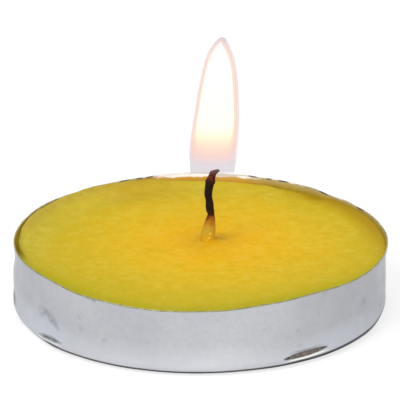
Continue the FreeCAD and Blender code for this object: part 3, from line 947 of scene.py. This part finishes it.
def make_wax(material):
    wall = CUP_RADIUS - FOIL - CAST_GAP - WAX_CLEARANCE
    edge_radius = wall - WAX_EDGE
    tin_edge = (TIN_HIGH.x - TIN_LOW.x) / 2 + CAST_GAP
    tin_top = PANEL_TOP + TIN_THICKNESS + CAST_GAP
    neck = WICK_RADIUS + NECK_WALL + CAST_GAP
    neck_top = TIN_HIGH.z + CAST_GAP
    bore = WICK_RADIUS + CAST_GAP

    rings = [
        eccentric_ring(0.0, tin_edge, PANEL_TOP),
        eccentric_ring(0.0, tin_edge, tin_top),
        eccentric_ring(0.0, neck + 0.4, tin_top),
        eccentric_ring(0.0, neck, tin_top + 0.4),
        eccentric_ring(0.0, neck, neck_top),
        eccentric_ring(0.0, bore, neck_top),
        eccentric_ring(0.0, bore, WAX_LEVEL - 0.5),
    ]
    mound_steps = 14
    for step in range(mound_steps + 1):
        share = step / mound_steps
        radius = mix(bore, MOUND_RADIUS, share)
        rise = MOUND_HEIGHT * (1 - share) ** 3.2
        rings.append(wax_top_ring(0.0, radius, WAX_LEVEL + rise, smooth(0.5, 1.0, share)))
    top_steps = 62
    for step in range(1, top_steps + 1):
        share = step / top_steps
        radius = mix(MOUND_RADIUS, edge_radius, share)
        rings.append(wax_top_ring(share, radius, WAX_LEVEL, 1.0))
    edge_steps = 7
    for step in range(1, edge_steps + 1):
        turn = math.radians(90 * step / edge_steps)
        radius = edge_radius + WAX_EDGE * math.sin(turn)
        height = WAX_LEVEL - WAX_EDGE * (1 - math.cos(turn))
        rings.append(wax_top_ring(1.0, radius, height, 1 - step / edge_steps))
    corner = BASE_CORNER - FOIL - CAST_GAP
    rings += [
        eccentric_ring(1.0, wall, 5.2),
        eccentric_ring(1.0, wall - DENT_ROOM, 4.7),
        eccentric_ring(1.0, wall - DENT_ROOM, FOIL + corner),
        eccentric_ring(1.0, wall - corner, FOIL),
        eccentric_ring(1.0, FOOT_INNER + STEP_SHIFT, FOIL),
        eccentric_ring(1.0, PANEL_EDGE + STEP_SHIFT, PANEL_TOP),
    ]
    points, faces = skin_rings(rings, joined=True)
    wax = make_piece("wax_fill", points, faces, material)
    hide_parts("wax")
    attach(wax, "root")


# Wick

# Middle line of the wick: (length along it, x, height)
WICK_LINE = (
    (0.0, WICK_X, WICK_FOOT),
    (3.5, WICK_X, WICK_FOOT + 3.5),
    (5.3, WICK_X - 0.10, WICK_FOOT + 5.3),
    (5.7, WICK_X - 0.24, 6.25),
    (6.47, WICK_X - 0.23, 7.0),
    (7.08, WICK_X - 0.13, 7.6),
    (7.79, WICK_X - 0.03, 8.3),
    (8.25, WICK_X + 0.03, 8.75),
    (8.65, WICK_X + 0.05, 9.15),
    (9.1, WICK_X + 0.01, 9.6),
    (9.63, WICK_X - 0.07, 10.12),
    (10.17, WICK_X - 0.15, 10.66),
    (10.73, WICK_X - 0.18, 11.21),
    (11.28, WICK_X - 0.20, 11.76),
    (11.83, WICK_X - 0.09, 12.31),
    (12.26, WICK_X + 0.05, 12.74),
    (12.61, WICK_X + 0.10, 13.07),
    (12.94, WICK_X + 0.20, 13.38),
    (13.11, WICK_X + 0.28, 13.53),
    (13.31, WICK_X + 0.43, 13.66),
    (13.61, WICK_X + 0.69, 13.81),
    (13.87, WICK_X + 0.92, 13.92),
)
# Radius of the wick: (length along it, radius)
WICK_GIRTHS = (
    (0.0, 0.60), (5.2, 0.60), (5.7, 0.80), (6.1, 0.78), (6.47, 0.74), (7.08, 0.66), (7.79, 0.56),
    (8.25, 0.45), (8.65, 0.36), (9.1, 0.40), (9.63, 0.42), (10.17, 0.39), (10.73, 0.40),
    (11.28, 0.42), (11.83, 0.45), (12.26, 0.50), (12.61, 0.41), (12.94, 0.37), (13.11, 0.38),
    (13.31, 0.29), (13.61, 0.20), (13.87, 0.10),
)


def make_wick(material):
    around = 48
    steps = 260
    length = WICK_LINE[-1][0]
    middle = [curve_at(WICK_LINE, length * step / steps) for step in range(steps + 1)]
    rings = []
    for step, (x, z) in enumerate(middle):
        back, ahead = middle[max(0, step - 1)], middle[min(steps, step + 1)]
        heading = math.atan2(ahead[0] - back[0], ahead[1] - back[1])
        along = length * step / steps
        girth = curve_at(WICK_GIRTHS, along)[0]
        charred = smooth(8.2, 9.1, along)
        ring = []
        for part in range(around):
            turn = 2 * math.pi * part / around
            twist = 4.4 * along
            plait = max(math.cos(3 * turn + twist), math.cos(3 * turn - twist))
            lump = noise.noise(Vector((math.cos(turn), math.sin(turn), along * 1.6)))
            radius = girth * (1 + mix(0.02, 0.08, charred) * (plait - 0.4) + 0.14 * charred * lump)
            across = radius * math.cos(turn)
            ring.append(
                (
                    x + across * math.cos(heading),
                    WICK_Y + radius * math.sin(turn),
                    z - across * math.sin(heading),
                )
            )
        rings.append(ring)
    tip = (middle[-1][0] + 0.05, WICK_Y, middle[-1][1] + 0.01)
    points, faces = skin_rings(rings, low_pole=(WICK_X, WICK_Y, WICK_FOOT), high_pole=tip)
    wick = make_piece("plaited_wick", points, faces, material, crease_angle=180.0)
    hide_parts("wick")
    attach(wick, "root")


# Flame

# Outline of the flame: (height, middle, radius)
FLAME_OUTLINE = (
    (9.4, 1.15, 0.9), (11.5, 1.19, 1.75), (13.56, 1.27, 2.20), (14.6, 1.31, 2.34),
    (15.6, 1.35, 2.43), (16.7, 1.42, 2.44), (17.7, 1.52, 2.43), (18.7, 1.62, 2.37),
    (19.8, 1.72, 2.30), (21.8, 1.86, 2.12), (22.9, 1.93, 2.00), (23.9, 1.99, 1.87),
    (24.9, 2.04, 1.70), (25.9, 2.07, 1.48), (26.5, 2.10, 1.27), (27.0, 2.14, 1.04),
    (27.4, 2.19, 0.80), (27.8, 2.26, 0.54), (28.03, 2.29, 0.35), (28.2, 2.30, 0.0),
)

# An inset that shrinks any ring of the flame to its middle
TO_MIDDLE = 9.0

# Layers of the flame from the outside in: name, inset, shift to the right, foot, strength,
# then colours and opacities by height. No more than four, because a line of sight passes
# two walls of each.
FLAME_LAYERS = (
    (
        "flame_mantle", 0.0, 0.0, 12.9, 1.0,
        ((13.2, (138, 132, 154)), (14.2, (148, 124, 143)), (15.0, (168, 140, 162)),
         (15.8, (222, 186, 196)), (17.0, (236, 192, 194)), (22.0, (238, 192, 190)),
         (27.2, (228, 198, 202)), (28.1, (196, 188, 200))),
        ((13.5, 0.0), (13.75, 0.23), (14.2, 0.22), (15.0, 0.21), (15.8, 0.28), (17.0, 0.32),
         (27.2, 0.32), (28.1, 0.48)),
    ),
    (
        "flame_veil", 0.16, -0.04, 14.2, 1.0,
        ((14.4, (232, 208, 214)), (15.6, (244, 208, 198)), (18.0, (250, 220, 194)),
         (27.0, (246, 212, 198))),
        ((14.2, 0.0), (15.0, 0.18), (16.2, 0.36), (28.0, 0.36)),
    ),
    (
        "flame_glow", 0.28, -0.07, 14.8, 1.3,
        ((15.0, (242, 208, 204)), (16.4, (250, 214, 180)), (18.0, (253, 232, 190)),
         (27.0, (255, 236, 210))),
        ((14.8, 0.0), (15.8, 0.3), (17.0, 0.55), (28.0, 0.55)),
    ),
    (
        "flame_core", 0.49, -0.08, 16.0, 3.0,
        ((16.4, (248, 210, 172)), (17.6, (254, 232, 186)), (18.9, (255, 252, 232)),
         (27.0, (255, 255, 245))),
        ((16.0, 0.0), (17.6, 0.4), (19.4, 1.0), (28.0, 1.0)),
    ),
)


def flame_ring(height, inset, shift, around=72):
    middle, radius = curve_at(FLAME_OUTLINE, height)
    radius = max(0.0, radius - inset_at(height, inset))
    ring = []
    for part in range(around):
        turn = 2 * math.pi * part / around
        ring.append(
            (
                middle + shift + radius * math.cos(turn),
                WICK_Y + radius * math.sin(turn),
                height,
            )
        )
    return ring


def inset_at(height, inset):
    """Inset of a layer: more at the tip, and for the inner ones also below the belly."""
    lower = max(0.0, inset - 0.2) * 1.5 * (1 - smooth(15.0, 18.6, height))
    return inset * (1 + 0.26 * smooth(24.5, 27.6, height)) + lower


def layer_top(inset):
    """Height at which the flame has narrowed to a layer's inset."""
    top = FLAME_OUTLINE[-1][0]
    while curve_at(FLAME_OUTLINE, top)[1] < inset_at(top, inset):
        top -= 0.02
    return top


def make_flame_layer(name, inset, shift, foot, strength, colours, opacities):
    """Closed shell inside the flame's envelope, set in from it, and cut off at its foot."""
    steps = 90
    top = layer_top(inset)
    rings = [
        flame_ring(mix(foot, top, math.sin(math.pi * step / steps / 2)), inset, shift)
        for step in range(steps)
    ]
    low_pole, high_pole = (flame_ring(end, TO_MIDDLE, shift)[0] for end in (foot, top))
    points, faces = skin_rings(rings, low_pole=low_pole, high_pole=high_pole)
    material = make_glow(name, colours, opacities, strength)
    layer = make_piece(name, points, faces, material)
    layer.visible_shadow = False
    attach(layer, "root")
    return layer


def make_flame():
    layers = [make_flame_layer(*layer) for layer in FLAME_LAYERS]
    for layer in layers:
        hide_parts("flame")


# Studio

def make_floor():
    material, tree, shader = new_material("studio_floor")
    place = object_place(tree)
    speckle = grain(tree, place, 30.0, 2.0)
    colour = ramp(tree, speckle, [(0.3, srgb(169, 169, 170)), (0.7, srgb(171, 171, 171))])
    tree.links.new(colour, shader.inputs["Base Color"])
    shader.inputs["Roughness"].default_value = 0.9
    shader.inputs["Specular IOR Level"].default_value = 0.0
    shader.inputs["Emission Color"].default_value = (1.0, 1.0, 1.0, 1.0)
    far = add_node(tree, "ShaderNodeVectorMath", {0: place}, operation="LENGTH").outputs["Value"]
    lift = spread(tree, far, 30 * MM, 200 * MM, 0.69, 0.73)
    lift = maths(tree, "MULTIPLY", lift, seen_directly(tree, 0.0, 1.0))
    tree.links.new(lift, shader.inputs["Emission Strength"])
    side = 3000.0
    corners = [(-side, -side, 0), (side, -side, 0), (side, side, 0), (-side, side, 0)]
    floor = make_piece("floor", corners, [(0, 1, 2, 3)], material)


def seen_directly(tree, elsewhere, seen):
    """One value for camera, glossy and transmission rays, and another for the rest."""
    rays = add_node(tree, "ShaderNodeLightPath").outputs
    direct = maths(tree, "MAXIMUM", rays["Is Camera Ray"], rays["Is Glossy Ray"])
    direct = maths(tree, "MAXIMUM", direct, rays["Is Transmission Ray"])
    return spread(tree, direct, 0.0, 1.0, elsewhere, seen)


def make_lamp(name, place, size, watts):
    data = bpy.data.lights.new(name, "AREA")
    data.shape = "DISK"
    data.size = size * MM
    data.energy = watts
    lamp = bpy.data.objects.new(name, data)
    bpy.context.scene.collection.objects.link(lamp)
    lamp.location = Vector(place) * MM
    lamp.rotation_mode = "QUATERNION"
    lamp.rotation_quaternion = (TARGET - Vector(place)).to_track_quat("-Z", "Y")


def make_studio():
    world = bpy.data.worlds.new("studio")
    bpy.context.scene.world = world
    world.use_nodes = True
    background = world.node_tree.nodes["Background"]
    background.inputs["Color"].default_value = (1.0, 1.0, 1.0, 1.0)
    world.node_tree.links.new(
        seen_directly(world.node_tree, 0.56, 1.0), background.inputs["Strength"]
    )
    make_lamp("key", (-350.0, -300.0, 620.0), 420.0, 2.1)
    make_lamp("fill", (120.0, -560.0, 300.0), 420.0, 1.3)
    make_floor()
    bpy.context.scene.view_settings.view_transform = "Standard"


make_camera()
make_studio()
make_cup(make_foil(), make_cut_edge(), make_waxed_foil())
make_wax(make_wax_material())
make_wick(make_wick_material())
make_flame()

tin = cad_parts["wick_sustainer"]
tin.data.materials.clear()
tin.data.materials.append(make_tin())
